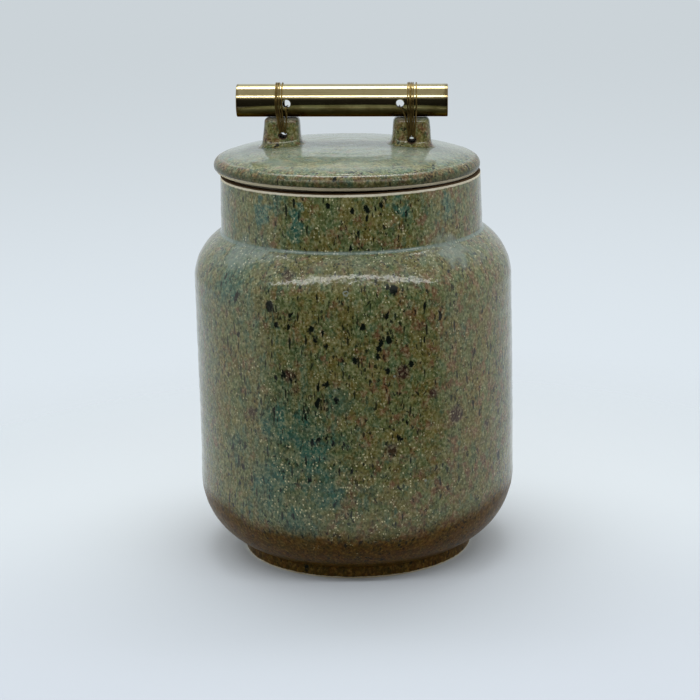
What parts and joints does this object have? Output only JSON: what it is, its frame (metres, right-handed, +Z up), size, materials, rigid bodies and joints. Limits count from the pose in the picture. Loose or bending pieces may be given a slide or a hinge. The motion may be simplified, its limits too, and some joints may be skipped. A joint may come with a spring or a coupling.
{
  "type": "olive jar",
  "caption": "Lidded stoneware storage jar with a wide mouth and a trimmed foot; its lid lifts off by a brass tube handle bound with wire to clay lugs.",
  "frame": {"origin": "centre of the foot, on the surface that the jar stands on", "axes": "+Z up through the mouth, +X along the handle, -Y towards the front"},
  "size_m": [0.1578, 0.1578, 0.2354],
  "materials": {
    "stoneware": "satin",
    "brass": "satin",
    "wire": "satin"
  },
  "bodies": {
    "jar": {"jar": "stoneware"},
    "lid": {"lid": "stoneware", "handle_tube": "brass", "binding_left": "wire", "binding_right": "wire"}
  },
  "joints": [
    {"name": "lid_lift", "type": "slide", "parent": "jar", "child": "lid", "axis": [0, 0, 1], "range_m": [0, 0.06]}
  ]
}
